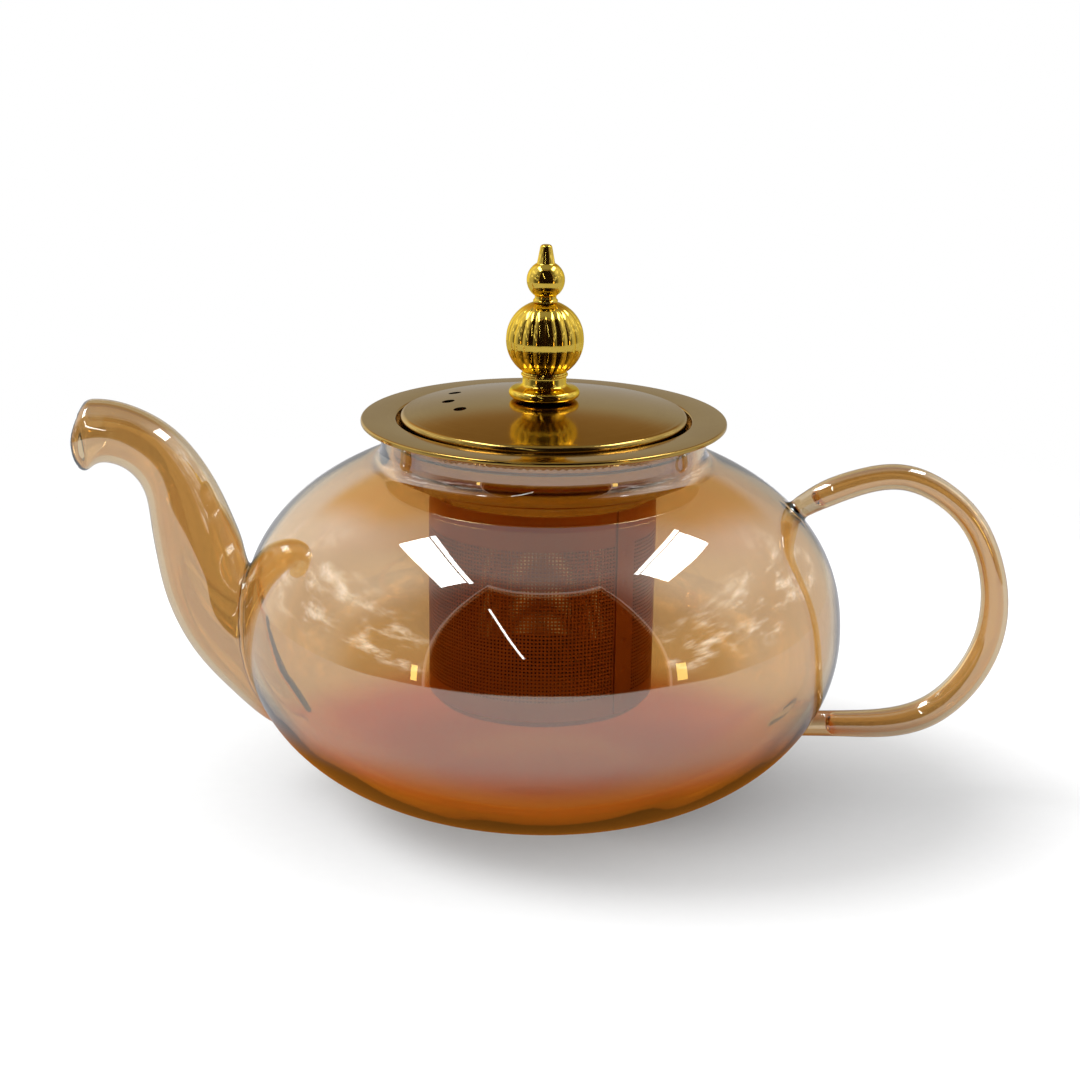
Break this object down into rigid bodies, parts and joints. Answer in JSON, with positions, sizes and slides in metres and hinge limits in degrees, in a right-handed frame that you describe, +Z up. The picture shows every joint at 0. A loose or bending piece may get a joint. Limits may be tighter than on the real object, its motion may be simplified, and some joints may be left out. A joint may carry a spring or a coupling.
{
  "type": "glass teapot",
  "caption": "Round amber glass teapot with a swan-neck spout, D-shaped glass handle, lift-out perforated infuser and lift-off domed lid with a fluted finial knob.",
  "frame": {"origin": "centre of the flat base, on the table", "axes": "+Z up, -X towards the spout, +X towards the handle"},
  "size_m": [0.2178, 0.1414, 0.131],
  "materials": {
    "amber_glass": "clear amber borosilicate with a thin lustre film, polished",
    "bronze_steel": "bronze-coloured coated stainless steel, polished",
    "gold_plate": "polished yellow gold plate",
    "plain_steel": "plain stainless steel"
  },
  "bodies": {
    "vessel": {"glass_body": "amber_glass", "glass_spout": "amber_glass", "glass_handle": "amber_glass"},
    "infuser": {"infuser_rim": "bronze_steel", "infuser_collar": "bronze_steel", "infuser_basket": "bronze_steel", "infuser_base": "bronze_steel"},
    "lid": {"lid_dome": "bronze_steel", "knob_foot": "gold_plate", "knob_fluted_ball": "gold_plate", "knob_spire": "gold_plate", "knob_washer": "plain_steel", "knob_screw": "plain_steel"}
  },
  "joints": [
    {"name": "infuser_lift", "type": "slide", "parent": "vessel", "child": "infuser", "axis": [0, 0, 1], "range_m": [0, 0.075]},
    {"name": "lid_lift", "type": "slide", "parent": "infuser", "child": "lid", "axis": [0, 0, 1], "range_m": [0, 0.05]}
  ]
}
